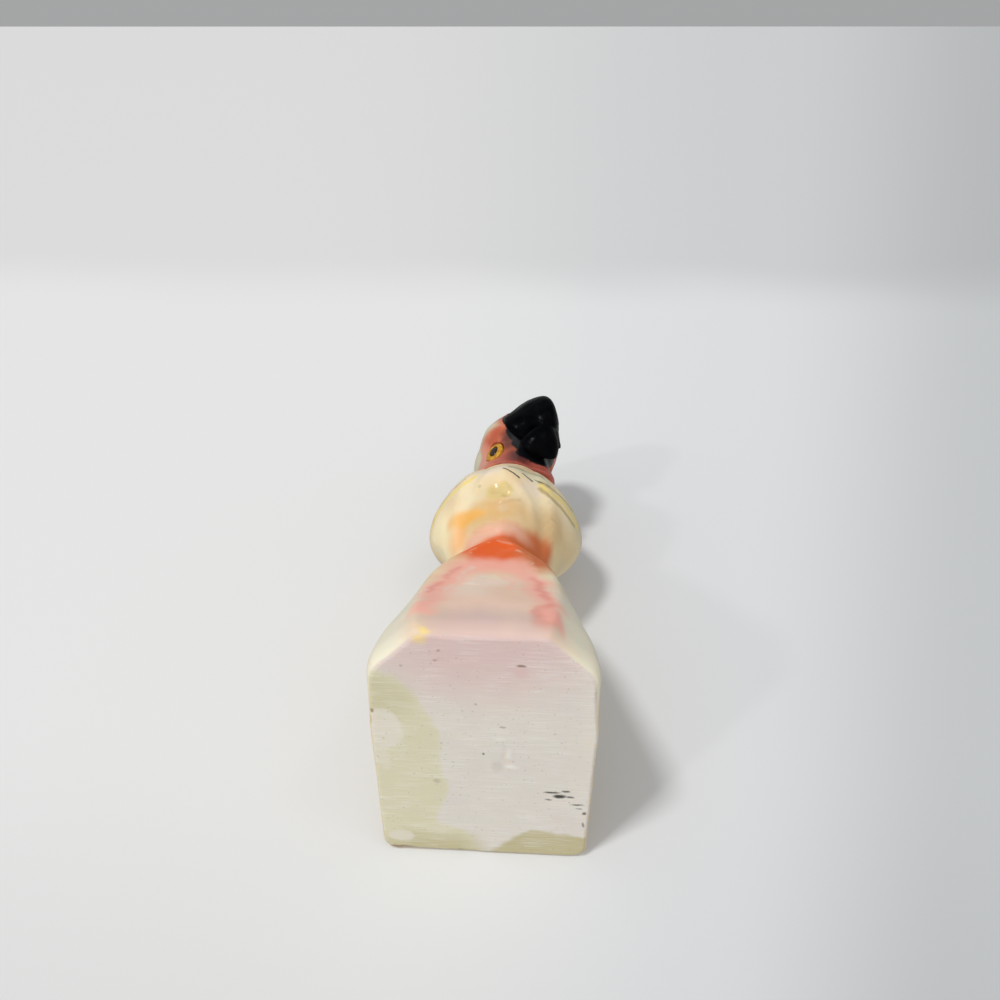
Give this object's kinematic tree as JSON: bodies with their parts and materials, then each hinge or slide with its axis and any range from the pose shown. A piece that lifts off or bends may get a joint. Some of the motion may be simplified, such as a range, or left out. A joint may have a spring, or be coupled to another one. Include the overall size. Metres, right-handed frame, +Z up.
{
  "type": "onyx parrot figurine",
  "caption": "Carved onyx parrot with turned red head and hooked black beak, standing on a tapered faceted stone pedestal with a sawn flat base.",
  "frame": {"origin": "middle of the sawn face under the pedestal", "axes": "+Z up, -Y the way the bird's breast faces, +X to the bird's left, the side its head turns to"},
  "size_m": [0.0488, 0.0639, 0.1552],
  "materials": {
    "cream_onyx": "polished, translucent, with a sawn face underneath",
    "red_head": "polished stone with red paint over it",
    "black_beak": "glossy",
    "yellow_eye": "glossy",
    "black_pupil": "glossy",
    "cement": "rough cured cement",
    "steel": "drawn rod"
  },
  "bodies": {
    "root": {"pedestal": "cream_onyx", "bird_body": "cream_onyx", "head": "red_head", "beak": "black_beak", "left_eye_ring": "yellow_eye", "right_eye_ring": "yellow_eye", "left_pupil": "black_pupil", "right_pupil": "black_pupil", "waist_cement": "cement", "neck_cement": "cement", "waist_dowel": "steel", "neck_dowel": "steel"}
  },
  "joints": []
}
